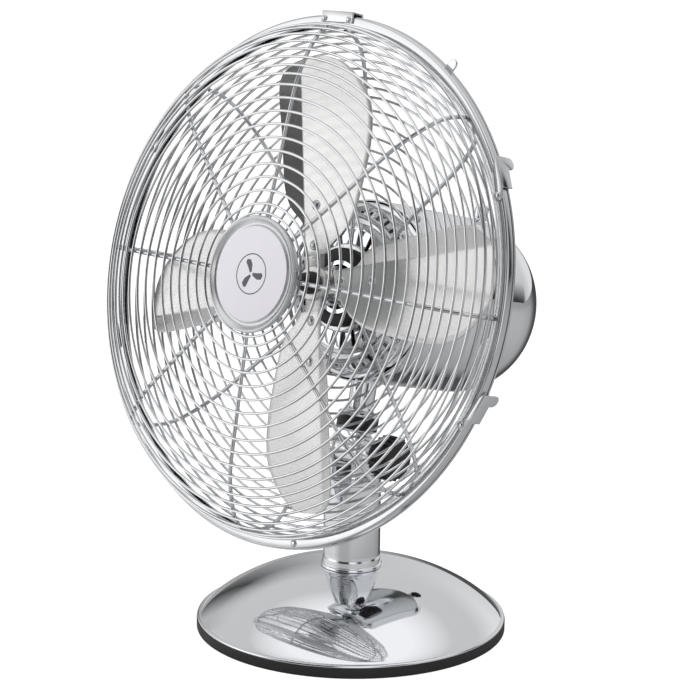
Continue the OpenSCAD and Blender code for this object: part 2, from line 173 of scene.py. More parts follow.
def turned(name, outline, radius=0.4, segments=96):   # a turned piece with eased corners
    def build(work):
        spinOutline(work, roundedOutline(outline, radius), segments)
    return objectFrom(name, meshFrom(name, build))


def turnedCopies(work, outlines, matrix, segments):   # small turned shapes added to a larger builder
    copy = bmesh.new()
    for outline, radius in outlines:
        spinOutline(copy, roundedOutline(outline, radius), segments)
    bmesh.ops.transform(copy, matrix=matrix, verts=copy.verts)
    mesh = bpy.data.meshes.new("copy")
    copy.to_mesh(mesh)
    copy.free()
    work.from_mesh(mesh)


def plateMesh(work, outline, low, high, matrix=Matrix.Identity(4)):   # a flat plate from an outline in mm
    bottom = [work.verts.new(matrix @ Vector((x * mm, y * mm, low * mm))) for x, y in outline]
    top = [work.verts.new(matrix @ Vector((x * mm, y * mm, high * mm))) for x, y in outline]
    work.faces.new(bottom[::-1])
    work.faces.new(top)
    for i in range(len(outline)):
        k = (i + 1) % len(outline)
        work.faces.new((bottom[i], bottom[k], top[k], top[i]))


def addBevel(piece, width, segments, angle=30):
    bevel = piece.modifiers.new("edge", "BEVEL")
    bevel.width = width * mm
    bevel.segments = segments
    bevel.limit_method = "ANGLE"
    bevel.angle_limit = math.radians(angle)


def addWall(piece, thickness):
    wall = piece.modifiers.new("wall", "SOLIDIFY")
    wall.thickness = thickness * mm
    wall.offset = 0


def bakeModifiers(piece):
    graph = bpy.context.evaluated_depsgraph_get()
    piece.data = bpy.data.meshes.new_from_object(piece.evaluated_get(graph), preserve_all_data_layers=True,
                                                 depsgraph=graph)
    piece.modifiers.clear()
    return piece


def flatPiece(name, outline, low, high, edge, segments=2, matrix=Matrix.Identity(4)):   # edges eased
    def build(work):
        plateMesh(work, outline, low, high, matrix)
    piece = objectFrom(name, meshFrom(name, build))
    addBevel(piece, edge, segments)
    return bakeModifiers(piece)


def joined(name, parts):   # several meshes with the same material slots made one piece
    bpy.ops.object.select_all(action="DESELECT")
    for part in parts:
        part.select_set(True)
    bpy.context.view_layer.objects.active = parts[0]
    bpy.ops.object.join()
    parts[0].name = name
    return parts[0]


def settle(piece, matrix, material, body, slotName, *nodes):   # puts a finished piece in its place
    piece.data.transform(matrix)
    if material is not None:
        piece.data.materials.clear()
        piece.data.materials.append(material)
    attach(piece, body)
    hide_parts(*nodes)


# geometry node trees for the wire rings and for what stands around an axis
def newTree(name, inputs):
    tree = bpy.data.node_groups.new(name, "GeometryNodeTree")
    tree.interface.new_socket("Geometry", in_out="INPUT", socket_type="NodeSocketGeometry")
    for label, kind in inputs.items():
        tree.interface.new_socket(label, in_out="INPUT", socket_type=kind)
    tree.interface.new_socket("Geometry", in_out="OUTPUT", socket_type="NodeSocketGeometry")
    return tree, addNode(tree, "NodeGroupInput")


def endTree(tree, start, geometry):   # real mesh with a material, because instances would be lost
    real = addNode(tree, "GeometryNodeRealizeInstances", links={"Geometry": geometry})
    painted = addNode(tree, "GeometryNodeSetMaterial",
                      links={"Geometry": real.outputs[0], "Material": start.outputs["Material"]})
    addNode(tree, "NodeGroupOutput", links={"Geometry": painted.outputs[0]})


def runTree(piece, tree, values):
    modifier = piece.modifiers.new("build", "NODES")
    modifier.node_group = tree
    for item in tree.interface.items_tree:
        if item.in_out == "INPUT" and item.name in values:
            modifier[item.identifier] = values[item.name]
    bakeModifiers(piece)
    shade(piece.data)
    return piece


def ringTree():   # each input point gives one wire ring: x is its radius, z its place on the axis
    tree, start = newTree("wireRings", {"Wire Radius": "NodeSocketFloat", "Segments": "NodeSocketInt",
                                        "Sides": "NodeSocketInt", "Material": "NodeSocketMaterial"})
    place = addNode(tree, "GeometryNodeInputPosition")
    parts = addNode(tree, "ShaderNodeSeparateXYZ", links={0: place.outputs[0]})
    centre = addNode(tree, "ShaderNodeCombineXYZ", links={"Z": parts.outputs["Z"]})
    size = addNode(tree, "ShaderNodeCombineXYZ", {"Z": 1.0},
                   {"X": parts.outputs["X"], "Y": parts.outputs["X"]})
    kept = addNode(tree, "GeometryNodeCaptureAttribute", links={"Geometry": start.outputs["Geometry"]})
    kept.capture_items.new("VECTOR", "size")
    tree.links.new(size.outputs[0], kept.inputs["size"])
    moved = addNode(tree, "GeometryNodeSetPosition",
                    links={"Geometry": kept.outputs["Geometry"], "Position": centre.outputs[0]})
    circle = addNode(tree, "GeometryNodeCurvePrimitiveCircle", {"Radius": 1.0},
                     {"Resolution": start.outputs["Segments"]})
    rings = addNode(tree, "GeometryNodeInstanceOnPoints",
                    links={"Points": moved.outputs[0], "Instance": circle.outputs["Curve"],
                           "Scale": kept.outputs["size"]})
    real = addNode(tree, "GeometryNodeRealizeInstances", links={"Geometry": rings.outputs[0]})
    section = addNode(tree, "GeometryNodeCurvePrimitiveCircle",
                      links={"Resolution": start.outputs["Sides"], "Radius": start.outputs["Wire Radius"]})
    wire = addNode(tree, "GeometryNodeCurveToMesh",
                   links={"Curve": real.outputs[0], "Profile Curve": section.outputs["Curve"]})
    endTree(tree, start, wire.outputs[0])
    return tree


def aroundTree(name, isWire):   # copies of the input set around the z axis; a wire path is swept first
    tree, start = newTree(name, {"Wire Radius": "NodeSocketFloat", "Count": "NodeSocketInt",
                                 "Material": "NodeSocketMaterial"})
    shape = start.outputs["Geometry"]
    if isWire:
        path = addNode(tree, "GeometryNodeMeshToCurve", links={"Mesh": shape})
        section = addNode(tree, "GeometryNodeCurvePrimitiveCircle", {"Resolution": 12},
                          {"Radius": start.outputs["Wire Radius"]})
        swept = addNode(tree, "GeometryNodeCurveToMesh", {"Fill Caps": True},
                        {"Curve": path.outputs[0], "Profile Curve": section.outputs["Curve"]})
        shape = swept.outputs[0]
    spots = addNode(tree, "GeometryNodeMeshLine", {"Offset": (0, 0, 0)}, {"Count": start.outputs["Count"]})
    number = addNode(tree, "GeometryNodeInputIndex")
    share = addNode(tree, "ShaderNodeMath", {"operation": "DIVIDE"},
                    {0: number.outputs[0], 1: start.outputs["Count"]})
    turn = addNode(tree, "ShaderNodeMath", {"operation": "MULTIPLY", 1: 2 * math.pi}, {0: share.outputs[0]})
    rotation = addNode(tree, "ShaderNodeCombineXYZ", links={"Z": turn.outputs[0]})
    copies = addNode(tree, "GeometryNodeInstanceOnPoints",
                     links={"Points": spots.outputs[0], "Instance": shape, "Rotation": rotation.outputs[0]})
    endTree(tree, start, copies.outputs[0])
    return tree


wireRings = ringTree()
wiresAround = aroundTree("wiresAround", True)
copiesAround = aroundTree("copiesAround", False)


# materials; pattern sizes are in mm
def chromePlate(name, colourHex, roughness, hazeSize, hazeDepth):   # hard chrome: a slightly hazy mirror
    material, tree = newMaterial(name)
    place = addNode(tree, "ShaderNodeTexCoord")
    haze = addNode(tree, "ShaderNodeTexNoise",
                   {"Scale": 1 / (hazeSize * mm), "Detail": 3.0, "Roughness": 0.6},
                   {"Vector": place.outputs["Object"]})
    limits = {"From Min": 0.3, "From Max": 0.7, "To Min": roughness, "To Max": roughness + hazeDepth}
    spread = addNode(tree, "ShaderNodeMapRange", limits, {"Value": haze.outputs["Fac"]})
    shader = addNode(tree, "ShaderNodeBsdfPrincipled", {"Base Color": srgb(colourHex), "Metallic": 1.0},
                     {"Roughness": spread.outputs["Result"]})
    finishMaterial(tree, shader)
    return material


def satinAluminium():   # rolled sheet under a thin lacquer: light grey, with soft blurred reflections
    material, tree = newMaterial("satinAluminiumSheet")   # the fine grain is drawn at 0.5 mm, so that it shows
    place = addNode(tree, "ShaderNodeTexCoord")
    grain = addNode(tree, "ShaderNodeTexNoise", {"Scale": 1 / (0.5 * mm), "Detail": 2.0},
                    {"Vector": place.outputs["Object"]})
    clouds = addNode(tree, "ShaderNodeTexNoise", {"Scale": 1 / (22 * mm), "Detail": 2.0},
                     {"Vector": place.outputs["Object"]})
    tint = addNode(tree, "ShaderNodeMix", {"data_type": "RGBA", 6: srgb("#e6e6e5"), 7: srgb("#ececeb")},
                   {0: clouds.outputs["Fac"]})
    spread = addNode(tree, "ShaderNodeMapRange", {"To Min": 0.19, "To Max": 0.22},
                     {"Value": grain.outputs["Fac"]})
    bump = addNode(tree, "ShaderNodeBump", {"Strength": 0.015, "Distance": 0.01 * mm},
                   {"Height": grain.outputs["Fac"]})
    shader = addNode(tree, "ShaderNodeBsdfPrincipled", {"Metallic": 1.0},
                     {"Base Color": tint.outputs[2], "Roughness": spread.outputs["Result"],
                      "Normal": bump.outputs["Normal"]})
    finishMaterial(tree, shader)
    return material


def mouldedBlack(name, colourHex, roughness, grainSize, grainDepth):   # spark-eroded grain: dull highlights
    material, tree = newMaterial(name)
    place = addNode(tree, "ShaderNodeTexCoord")
    grain = addNode(tree, "ShaderNodeTexNoise", {"Scale": 1 / (grainSize * mm), "Detail": 2.0},
                    {"Vector": place.outputs["Object"]})
    spread = addNode(tree, "ShaderNodeMapRange", {"To Min": roughness - 0.06, "To Max": roughness + 0.08},
                     {"Value": grain.outputs["Fac"]})
    bump = addNode(tree, "ShaderNodeBump", {"Strength": 0.35, "Distance": grainDepth * mm},
                   {"Height": grain.outputs["Fac"]})
    shader = addNode(tree, "ShaderNodeBsdfPrincipled", {"Base Color": srgb(colourHex), "IOR": 1.5},
                     {"Roughness": spread.outputs["Result"], "Normal": bump.outputs["Normal"]})
    finishMaterial(tree, shader)
    return material


def plainMetal(name, colourHex, roughness, grainSize, metallic=1.0):   # bare or painted metal, uneven gloss
    material, tree = newMaterial(name)
    place = addNode(tree, "ShaderNodeTexCoord")
    grain = addNode(tree, "ShaderNodeTexNoise", {"Scale": 1 / (grainSize * mm), "Detail": 3.0},
                    {"Vector": place.outputs["Object"]})
    spread = addNode(tree, "ShaderNodeMapRange", {"To Min": roughness - 0.08, "To Max": roughness + 0.1},
                     {"Value": grain.outputs["Fac"]})
    bump = addNode(tree, "ShaderNodeBump", {"Strength": 0.2, "Distance": 0.05 * mm},
                   {"Height": grain.outputs["Fac"]})
    shader = addNode(tree, "ShaderNodeBsdfPrincipled", {"Base Color": srgb(colourHex), "Metallic": metallic},
                     {"Roughness": spread.outputs["Result"], "Normal": bump.outputs["Normal"]})
    finishMaterial(tree, shader)
    return material


def stackedSheet():   # motor core of varnished 0.5 mm sheets, drawn as fine bands across the fan's axis
    material, tree = newMaterial("stackedMotorSheet")
    place = addNode(tree, "ShaderNodeTexCoord")
    along = addNode(tree, "ShaderNodeVectorMath", {"operation": "DOT_PRODUCT", 1: tuple(fanForward)},
                    {0: place.outputs["Object"]})
    bands = addNode(tree, "ShaderNodeMath", {"operation": "PINGPONG", 1: 0.5 * mm},
                    {0: along.outputs["Value"]})
    spread = addNode(tree, "ShaderNodeMapRange", {"From Max": 0.5 * mm}, {"Value": bands.outputs[0]})
    tint = addNode(tree, "ShaderNodeMix", {"data_type": "RGBA", 6: srgb("#3b3c3f"), 7: srgb("#6d6e72")},
                   {0: spread.outputs["Result"]})
    shader = addNode(tree, "ShaderNodeBsdfPrincipled", {"Metallic": 0.8, "Roughness": 0.45},
                     {"Base Color": tint.outputs[2]})
    finishMaterial(tree, shader)
    return material


def enamelledCopper():   # wound wire, seen as fine turns round the fan's axis
    material, tree = newMaterial("enamelledCopperWire")
    place = addNode(tree, "ShaderNodeTexCoord")
    turns = addNode(tree, "ShaderNodeTexWave",
                    {"Scale": 1 / (4 * mm), "Distortion": 1.5, "bands_direction": "Z"},
                    {"Vector": place.outputs["Object"]})
    # the copper is darker in the grooves between turns and lighter on their crowns: painted shade and painted
    # highlight that follow the turns' relief, over the wire's own copper colour
    tint = addNode(tree, "ShaderNodeMix", {"data_type": "RGBA", 6: srgb("#7a3a16"), 7: srgb("#c46f33")},
                   {0: turns.outputs["Fac"]})
    bump = addNode(tree, "ShaderNodeBump", {"Strength": 0.5, "Distance": 0.3 * mm},
                   {"Height": turns.outputs["Fac"]})
    shader = addNode(tree, "ShaderNodeBsdfPrincipled", {"Metallic": 0.7, "Roughness": 0.32},
                     {"Base Color": tint.outputs[2], "Normal": bump.outputs["Normal"]})
    finishMaterial(tree, shader)
    return material


def badgeLacquer(name, colourHex, roughness):   # printed and lacquered sheet, very smooth
    material, tree = newMaterial(name)
    place = addNode(tree, "ShaderNodeTexCoord")
    cloud = addNode(tree, "ShaderNodeTexNoise", {"Scale": 1 / (9 * mm), "Detail": 1.0},
                    {"Vector": place.outputs["Object"]})
    spread = addNode(tree, "ShaderNodeMapRange", {"To Min": roughness - 0.04, "To Max": roughness + 0.04},
                     {"Value": cloud.outputs["Fac"]})
    shader = addNode(tree, "ShaderNodeBsdfPrincipled", {"Base Color": srgb(colourHex), "IOR": 1.49},
                     {"Roughness": spread.outputs["Result"]})
    finishMaterial(tree, shader)
    return material


polishedChrome = chromePlate("polishedChromePlate", "#eef0f3", 0.03, 30, 0.02)
rimChrome = chromePlate("rolledRimChrome", "#d6d7d9", 0.09, 12, 0.05)
wireChrome = chromePlate("platedSteelWire", "#d8d9db", 0.10, 6, 0.05)
dishChrome = chromePlate("satinChromeDish", "#dcdddf", 0.26, 8, 0.05)
bladeSheet = satinAluminium()
blackPlastic = mouldedBlack("mouldedBlackPlastic", "#1b1b1c", 0.42, 0.7, 0.05)
blackRubber = mouldedBlack("mouldedBlackRubber", "#2a2a2b", 0.62, 0.9, 0.08)
plainSteel = plainMetal("zincPlatedSteel", "#b9babc", 0.32, 1.2)
hubSheet = plainMetal("satinHubSheet", "#dededc", 0.28, 1.0)
castIron = plainMetal("roughCastIron", "#3a3b3d", 0.7, 2.0, 0.6)
darkPaint = plainMetal("blackPaintedSteel", "#1d1e20", 0.5, 1.5, 0.2)
bronze = plainMetal("sinteredBronze", "#a7834a", 0.45, 0.6)
nylon = badgeLacquer("mouldedNylon", "#e6e0cc", 0.4)
motorSheet = stackedSheet()
copperWire = enamelledCopper()
badgeWhite = badgeLacquer("badgeWhiteLacquer", "#f1eff6", 0.22)
badgeInk = badgeLacquer("badgeGreyInk", "#55585f", 0.35)
print("materials made")

# base and stand, in mm above the floor
base = {"edgeRadius": 107, "edgeInner": 99, "edgeHeight": 7.3, "hole": 5.2, "domeEnd": 103.2, "underEnd": 101,
        "domeRise": 35.5, "wall": 1.4, "tubeRadius": 19.7, "tubeWall": 1.3, "tubeBelowPivot": 22,
        "segments": 160}
base["domeRadius"] = base["edgeRadius"] - 2.5
base["domeEdge"] = base["edgeHeight"] + 1.2
base["foot"] = base["domeEdge"] + base["domeRise"]
base["tubeTop"] = pivot.z / mm - base["tubeBelowPivot"]


def domeHeight(r):
    return base["domeEdge"] + base["domeRise"] * (1 - (r / base["domeRadius"]) ** 2.4) ** 0.9


def makeBase():
    outer, inner, high = base["edgeRadius"], base["edgeInner"], base["edgeHeight"]
    edge = turned("baseEdge", [(inner, 0), (outer, 0), (outer, high), (inner, high)], 0.7, base["segments"])
    settle(edge, floorFrame, blackRubber, "stand", "black_rubber", "base_skirt")
    span = base["domeEnd"] - base["hole"]
    radii = [base["hole"] + span * (1 - (1 - k / 59) ** 1.6) for k in range(60)]   # closer rows near the edge
    top = [(r, domeHeight(r)) for r in radii]
    rolled = [(104.2, domeHeight(104.2)), (105.2, 8.95), (106.0, 8.8), (106.5, 8.3), (106.5, 7.35),
              (102.2, 7.35)]
    under = [(r, domeHeight(r) - base["wall"]) for r in reversed(radii) if r < base["underEnd"]]

    def build(work):
        spinOutline(work, top + rolled + under, base["segments"])
    dome = objectFrom("baseDome", meshFrom("baseDome", build, 50))
    settle(dome, floorFrame, polishedChrome, "stand", "chrome", "base_shell")


def makeStand():
    r, wall, low, high = base["tubeRadius"], base["tubeWall"], base["foot"] - 0.4, base["tubeTop"]
    tube = turned("standTube", [(r - wall, low), (r, low), (r, high), (r - wall, high)], 0.25)
    settle(tube, floorFrame, polishedChrome, "stand", "chrome", "stand_tube")
    collar = turned("footCollar", [(r + 0.05, low + 0.1), (r + 1.3, low - 0.1), (r + 1.5, low + 0.6),
                                   (r + 1.2, low + 1.6), (r + 0.5, low + 2.4), (r + 0.3, low + 5.9),
                                   (r + 0.05, low + 6.2)], 0.3)
    settle(collar, floorFrame, polishedChrome, "stand", "chrome", "foot_collar")


makeBase()
makeStand()
print("base and stand made")

# hinge, knob and neck, in mm from the tilt pivot
hinge = {"plugDepth": 16, "plugGap": 1.35, "capHeight": 3.5, "earRadius": 11, "earInside": 8.5,
         "earOutside": 13.5, "earFoot": 3.2, "knobFace": 22, "ribs": 20}
neck = {"lugHalf": 8.2, "lugRadius": 10.7, "lugNeck": 8, "lugTop": 13.5}
standing = Matrix(((0, 0, 1, 0), (1, 0, 0, 0), (0, 1, 0, 0), (0, 0, 0, 1)))   # turns a plate's thickness to x


def makeHinge():
    r, high = base["tubeRadius"], base["tubeTop"]
    plug, low, top = r - hinge["plugGap"], high - hinge["plugDepth"], high + hinge["capHeight"]
    cap = turned("hingeCap", [(0, low), (plug, low), (plug, high), (r, high), (r, top), (0, top)], 0.8)
    ear, drop = hinge["earRadius"], pivot.z / mm - high - hinge["earFoot"]
    outline = [(-ear, -drop), (ear, -drop)] + arc(0, 0, ear, 0, 180, 24)
    inside, outside = hinge["earInside"], hinge["earOutside"]
    ears = [flatPiece("hingeEar", outline, near, far, 0.9, 3, tiltFrame)
            for near, far in ((-outside, -inside), (inside, outside))]
    boss = turned("hingeBoss", [(3.1, 13.3), (8, 13.3), (8, 21.7), (3.1, 21.7)], 0.6, 64)
    boss.data.transform(tiltFrame)
    casting = joined("hingeCasting", [cap, *ears, boss])
    settle(casting, floorFrame, polishedChrome, "stand", "chrome", "hinge_socket")


def makeTiltKnob():
    x = hinge["knobFace"]
    body = turned("tiltKnob", [(0, x + 20), (12.6, x + 20), (14.0, x + 18), (14.0, x + 5.6), (12.8, x + 4.2),
                               (9.7, x + 3.2), (9.2, x), (3.05, x), (3.05, x + 12), (0, x + 12)], 0.7, 120)
    outline = [(13.5, -1.15), (14.9, -0.85), (15.35, 0), (14.9, 0.85), (13.5, 1.15)]
    ribs = flatPiece("knobRibs", outline, x + 6, x + 17.6, 0.25)
    runTree(ribs, copiesAround, {"Count": hinge["ribs"], "Material": blackPlastic})
    body.data.materials.append(blackPlastic)
    knob = joined("tiltKnob", [body, ribs])
    settle(knob, tiltFrame, blackPlastic, "tilt_knob", "black_plastic", "tilt_knob")


def makeNeck():
    half, side, top = neck["lugHalf"], neck["lugNeck"], neck["lugTop"]
    outline = [(-side, top), (-side, 4), *arc(0, 0, neck["lugRadius"], 158, 382, 30), (side, 4), (side, top)]
    lug = flatPiece("neckLug", outline, -half, half, 0.8, 3, standing)   # stands between the hinge's ears
    cup = turned("neckCup", [(5, 12), (10.5, 12), (13.0, 13), (14.0, 13.6), (14.0, 14.2), (12.95, 14.2),
                             (12.95, 22), (5, 22)])
    settle(joined("neckCasting", [lug, cup]), neckFrame, polishedChrome, "neck", "chrome", "neck_lug")
    band = turned("neckBand", [(13.05, 14.2), (14.2, 14.2), (14.2, 23), (13.05, 23)], 0.3)
    settle(band, neckFrame, blackPlastic, "neck", "black_plastic", "neck_band")
    sleeve = turned("pivotSleeve", [(5.05, 23.3), (14.2, 23.3), (14.2, 24.6), (12.6, 26), (9.6, 27.2),
                                    (9, 29), (9, 50.5), (5.05, 50.5)], 0.5)
    settle(sleeve, neckFrame, polishedChrome, "head", "chrome", "pivot_sleeve")


makeHinge()
makeTiltKnob()
makeNeck()
print("hinge and neck made")

# motor, in mm along and around the fan's axis
motor = {"radius": 62, "wall": 1.2, "domeStart": -80, "domeLength": 52, "coverSegments": 240,
         "coverWall": 1.1, "innerSlots": 29, "outerSlots": 48, "knobDrop": 34, "knobRibs": 24,
         "swingKnobBack": 93}


def makeHousing():
    start, length, radius, wall = (motor[k] for k in ("domeStart", "domeLength", "radius", "wall"))
    turns = [math.pi / 2 * k / 30 for k in range(31)]

    def dome(inset):
        return [((radius - inset) * math.cos(a), start - (length - inset) * math.sin(a)) for a in turns]
    outer = [(60.9, 20), (61.7, 19.6), (radius, 18.8), (radius, 4), (radius, -40)] + dome(0)
    inner = dome(wall)[::-1] + [(radius - wall, -40), (radius - wall, 4)]

    def build(work):
        spinOutline(work, outer + inner, 144)
    shell = objectFrom("motorHousing", meshFrom("motorHousing", build, 50))
    settle(shell, fanFrame, polishedChrome, "head", "chrome", "motor_housing")


def makeFrontCover():   # rows of slots start at the outline's points with these radii
    outline = [(8.2, 26.8), (15.4, 26.8), (15.6, 27.2), (15.6, 42.8), (17.5, 42.8), (17.5, 34.4), (18, 33.6),
               (27, 33.6), (29, 33.6), (40, 33.6), (43.4, 33.6), (44.6, 32.6), (45.4, 31), (48, 29.3),
               (53, 25.8), (56, 24.6), (58.6, 22.6), (59.6, 20), (59.7, 16), (59.7, 9.8)]
    count = motor["coverSegments"]

    def build(work):
        rows = [[work.verts.new((r * mm * math.cos(2 * math.pi * k / count),
                                 r * mm * math.sin(2 * math.pi * k / count), s * mm)) for k in range(count)]
                for r, s in outline]
        for (r, s), low, high in zip(outline, rows, rows[1:]):
            for k in range(count):
                inner = r == motor["innerSlots"] and k % 10 in (3, 4, 5, 6)
                outer = r == motor["outerSlots"] and k % 6 in (2, 3)
                if not (inner or outer):
                    n = (k + 1) % count
                    work.faces.new((low[k], low[n], high[n], high[k]))
    cover = objectFrom("frontCover", meshFrom("frontCover", build))
    addWall(cover, motor["coverWall"])
    shade(bakeModifiers(cover).data, 40)
    settle(cover, fanFrame, polishedChrome, "head", "chrome", "front_cover")


def makeKnobs():
    knob = turned("swingKnob", [(0, 181.2), (3.6, 180.9), (4.85, 179.2), (4.85, 170.8), (3, 169.1),
                                (2.4, 169), (2.4, 152), (0, 152)], 0.6, 64)
    knob.data.transform(shift(y=motor["swingKnobBack"]))
    settle(knob, neckFrame, polishedChrome, "swing_knob", "chrome", "swing_knob")
    body = turned("speedKnob", [(0, -139), (7.5, -139), (8.8, -137.8), (9.2, -129.5), (3.05, -129.5),
                                (3.05, -134), (0, -134)], 0.6, 64)

    def rib(work):
        plateMesh(work, [(8.4, -0.5), (9.4, -0.4), (9.4, 0.4), (8.4, 0.5)], -136.6, -130)
    ribs = objectFrom("speedRibs", meshFrom("speedRibs", rib))
    runTree(ribs, copiesAround, {"Count": motor["knobRibs"], "Material": blackPlastic})
    speed = joined("speedKnob", [body, ribs])
    speed.data.transform(shift(y=-motor["knobDrop"]))
    settle(speed, fanFrame, blackPlastic, "speed_knob", "black_plastic", "speed_knob")
    nut = turned("guardNut", [(18.3, 39.1), (26.6, 39.1), (26.6, 42.6), (25.4, 43.5), (18.3, 43.5)], 0.5)
    settle(nut, fanFrame, blackPlastic, "head", "black_plastic", "guard_nut")


makeHousing()
makeFrontCover()
makeKnobs()
print("motor made")

# rotor; a blade's outline is (along the blade, across it) on the flat sheet
blade = {"count": 4, "phase": 10, "foldTurn": 5.2, "plane": 68.5, "thickness": 1.2, "fold": 5.3,
         "foldHalf": 1.2, "slope": 6.8, "bend": 30, "root": 18.4, "tip": 151.6, "rows": 64, "behindFold": 14,
         "inFold": 6, "beyondFold": 8, "rivets": (25.1, 51.8)}
bladeNear = [(18.0, -11.7), (23.6, -16.2), (29.8, -25.8), (41.1, -34.4), (58.5, -41.0), (76.1, -46.6),
             (90.8, -49.9), (103.8, -51.1), (116.0, -49.7), (127.5, -44.2), (137.2, -37.1), (143.9, -30.2),
             (148.7, -21.6), (150.9, -14.5), (151.6, -7.0)]
bladeFar = [(18.0, 6.4), (30.6, 5.7), (40.7, 6.6), (51.5, 14.2), (63.9, 17.9), (77.0, 18.7), (102.2, 19.3),
            (127.4, 20.5), (138.4, 19.5), (145.1, 15.8), (149.0, 9.0), (151.0, 0.5), (151.6, -5.0)]


def edgeAt(points, u):   # smooth interpolation through the outline's points
    last = len(points) - 2
    i = next((k for k in range(last) if u <= points[k + 1][0]), last)
    (u0, v0), (u1, v1) = points[i], points[i + 1]
    before, after = points[max(0, i - 1)], points[min(last + 1, i + 2)]
    t = min(1, max(0, (u - u0) / (u1 - u0)))
    m0 = (v1 - before[1]) / (u1 - before[0]) * (u1 - u0)
    m1 = (after[1] - v0) / (after[0] - u0) * (u1 - u0)
    return ((2 * t ** 3 - 3 * t ** 2 + 1) * v0 + (t ** 3 - 2 * t ** 2 + t) * m0
            + (-2 * t ** 3 + 3 * t ** 2) * v1 + (t ** 3 - t ** 2) * m1)


def foldPoint(v):   # where a point of the flat sheet lies once it is bent, with a small radius in the fold
    beyond, half, steps = v - blade["fold"], blade["foldHalf"], blade["inFold"]
    low, high = math.radians(blade["slope"]), math.radians(blade["bend"])
    inArc = max(-half, min(half, beyond))
    y, z = blade["fold"], 0.0
    for k in range(steps):
        angle = low + (high - low) * ((k + 0.5) / steps * inArc + half) / (2 * half)
        y, z = y + inArc / steps * math.cos(angle), z + inArc / steps * math.sin(angle)
    rest, angle = beyond - inArc, high if beyond > 0 else low
    return y + rest * math.cos(angle), z + rest * math.sin(angle)


def bladeColumns(near, far):   # more columns in the fold, so that its radius is round
    start, end = blade["fold"] - blade["foldHalf"], blade["fold"] + blade["foldHalf"]
    places = [near]
    for low, high, count in ((near, start, blade["behindFold"]), (start, end, blade["inFold"]),
                             (end, max(end, far), blade["beyondFold"])):
        places += [low + (high - low) * (k + 1) / count for k in range(count)]
    return [min(max(place, near), far) for place in places]


def bladeSurface(work):
    rows, span = [], blade["tip"] - blade["root"]
    for i in range(blade["rows"] + 1):   # rows lie closer towards the rounded tip
        u = blade["root"] + span * (1 - (1 - i / blade["rows"]) ** 1.8)
        row = []
        for v in bladeColumns(edgeAt(bladeNear, u), edgeAt(bladeFar, u)):
            y, z = foldPoint(v)
            row.append(work.verts.new((u * mm, y * mm, (blade["plane"] + z) * mm)))
        rows.append(row)
    for low, high in zip(rows, rows[1:]):
        for k in range(len(low) - 1):
            work.faces.new((low[k], high[k], high[k + 1], low[k + 1]))
    bmesh.ops.remove_doubles(work, verts=work.verts, dist=2e-5)


def makeBlades():
    for number in range(blade["count"]):
        name = "fanBlade%d" % (number + 1)
        piece = objectFrom(name, meshFrom(name, bladeSurface))
        addWall(piece, blade["thickness"])
        addBevel(piece, 0.25, 2, 50)
        shade(bakeModifiers(piece).data, 45)
        turn = turnZ(blade["phase"] + blade["foldTurn"] + 360 / blade["count"] * number)
        settle(piece, fanFrame @ turn, bladeSheet, "rotor", "blade_sheet", "blade_%d" % (number + 1))


def rootPlane():   # the plane of the flat part of a blade, seen along its rivets
    turn, fold = turnZ(blade["foldTurn"]), blade["fold"]
    slope = Matrix.Rotation(math.radians(blade["slope"]), 4, "X")
    return turn @ shift(y=fold, z=blade["plane"]) @ slope @ shift(y=-fold) @ turn.inverted()


def makeHub():
    plane, turn = rootPlane(), turnZ(blade["phase"])
    outer = [(0, 2.3), (1.6, 2.0), (2.9, 1.35), (3.6, 0.45), (3.6, -0.2), (0, -0.2)]
    inner = [(0, -2.3), (2.6, -2.3), (2.6, -3.8), (0, -4.2)]

    def rivetHeads(work):
        for u in blade["rivets"]:
            turnedCopies(work, ((outer, 0.4), (inner, 0.4)), plane @ shift(u), 24)
    rivets = objectFrom("bladeRivets", meshFrom("bladeRivets", rivetHeads))
    runTree(rivets, copiesAround, {"Count": blade["count"], "Material": rimChrome})
    settle(rivets, fanFrame @ turn, rimChrome, "rotor", "steel", "blade_rivets")
    outline = [(6, -7.5), (50, -7.5), (55.5, -5.5), (57, 0), (55.5, 5.5), (50, 7.5), (6, 7.5)]
    arms = flatPiece("spiderArms", outline, -2.25, -0.75, 0.3, 2, plane)
    runTree(arms, copiesAround, {"Count": blade["count"], "Material": hubSheet})
    arms.data.transform(turn)
    hub = turned("spiderHub", [(4, 58), (11.6, 58), (12, 59), (12, 68), (11, 69.5), (4, 69.5)], 0.5, 64)
    settle(joined("bladeSpider", [hub, arms]), fanFrame, hubSheet, "rotor", "steel", "blade_spider")
    nut = turned("hubNut", [(0, 79.8), (3.4, 79.4), (5.6, 77.8), (6.4, 75.6), (6.4, 72.4), (7.6, 71.4),
                            (7.6, 69.6), (4.05, 69.6), (4.05, 76.1), (0, 76.1)], 0.5, 64)
    settle(nut, fanFrame, blackPlastic, "rotor", "black_plastic", "hub_nut")


makeBlades()
makeHub()
print("rotor made")

# guards; both sides follow one rule with their own values
guard = {"rimRadius": 175, "wire": 1.8, "spoke": 2.8, "spokes": 8, "cornerRadius": 118, "bends": (30, 80),
         "frontEdge": 85, "rearEdge": 79.2, "faceStart": 46, "facePitch": 8.64, "faceEnd": 10, "bendPitch": 6,
         "centreRing": 50, "segments": 128}
guardSides = [
    {"name": "front", "sign": 1, "face": 117.7, "slope": 3.6, "curve": (91, 21.6), "inner": [40], "first": 0,
     "outward": 0, "bendRings": 9, "bendStart": 13.2, "reach": 81.5, "tail": 5.2},
    {"name": "rear", "sign": -1, "face": 44.5, "slope": 5.9, "curve": (93.4, 25), "inner": [], "first": 1,
     "outward": 4, "bendRings": 8, "bendStart": 16.2, "reach": 91, "tail": 4.2},
]
weldDepth = (guard["wire"] + guard["spoke"]) / 2 - 0.3   # the spokes' middle lies this far inside the rings'


